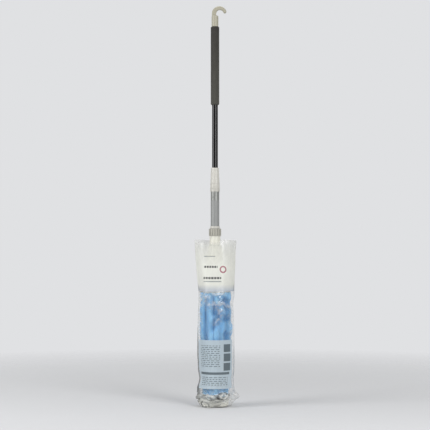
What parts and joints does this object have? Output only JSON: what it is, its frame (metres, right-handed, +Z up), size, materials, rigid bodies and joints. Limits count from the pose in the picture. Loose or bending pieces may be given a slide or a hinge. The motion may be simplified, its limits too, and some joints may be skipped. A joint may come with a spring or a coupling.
{
  "type": "wet mop",
  "caption": "Telescopic hand-wrung mop with a sliding, turning wringer sleeve over cloth strips, standing in its open clear film bag.",
  "frame": {"origin": "on the floor, under the pole's axis", "axes": "+Z up the pole, +X towards the open side of the hanging hook, -Y the front in the picture"},
  "size_m": [0.1398, 0.1078, 1.3002],
  "materials": {
    "ivory_plastic": "moulded ivory plastic, a little translucent",
    "grip_foam": "closed-cell foam, matte dark grey",
    "black_lacquer": "gloss black lacquer on steel tube",
    "grey_coat": "satin grey coat on steel tube",
    "white_plastic": "moulded warm white plastic",
    "grey_plastic": "moulded warm grey plastic",
    "bearing_plastic": "plain natural acetal",
    "ring_plastic": "moulded pale grey plastic, sewn through",
    "microfibre": "light blue microfibre terry strips",
    "zinc_steel": "zinc plated steel",
    "clear_film": "clear film, partly printed white"
  },
  "bodies": {
    "lower_pole": {"lower_tube": "grey_coat", "lock_collet": "white_plastic", "stop_ring": "white_plastic", "ratchet_collar": "grey_plastic", "tube_end_plug": "bearing_plastic", "base_cup": "white_plastic", "base_screw": "zinc_steel", "base_washer": "zinc_steel", "refill_base_ring": "ring_plastic", "outer_strips": "microfibre", "inner_strips": "microfibre"},
    "upper_pole": {"upper_tube": "black_lacquer", "guide_bush": "bearing_plastic", "foam_grip": "grip_foam", "hanging_hook": "ivory_plastic"},
    "lock_collar": {"lock_collar": "white_plastic"},
    "wringer_carriage": {"upper_bush": "bearing_plastic", "lower_bush": "bearing_plastic"},
    "wringer_sleeve": {"sleeve_tube": "white_plastic", "sleeve_crown": "grey_plastic", "sleeve_bell": "white_plastic", "refill_top_ring": "ring_plastic"},
    "bag": {"film_bag": "clear_film"}
  },
  "joints": [
    {"name": "pole_telescope", "type": "slide", "parent": "lower_pole", "child": "upper_pole", "axis": [0, 0, 1], "range_m": [-0.203, 0.244]},
    {"name": "lock_twist", "type": "hinge", "parent": "lower_pole", "child": "lock_collar", "pos_m": [0, 0, 0.749], "axis": [0, 0, 1], "range_deg": [0, 90]},
    {"name": "wringer_slide", "type": "slide", "parent": "lower_pole", "child": "wringer_carriage", "axis": [0, 0, 1], "range_m": [-0.12, 0], "deforming": ["outer_strips", "inner_strips"]},
    {"name": "wringer_twist", "type": "hinge", "parent": "wringer_carriage", "child": "wringer_sleeve", "pos_m": [0, 0, 0.54], "axis": [0, 0, 1], "range_deg": [0, 170]},
    {"name": "bag_pull_off", "type": "slide", "parent": "lower_pole", "child": "bag", "axis": [0, 0, 1], "range_m": [-0.56, 0]}
  ]
}
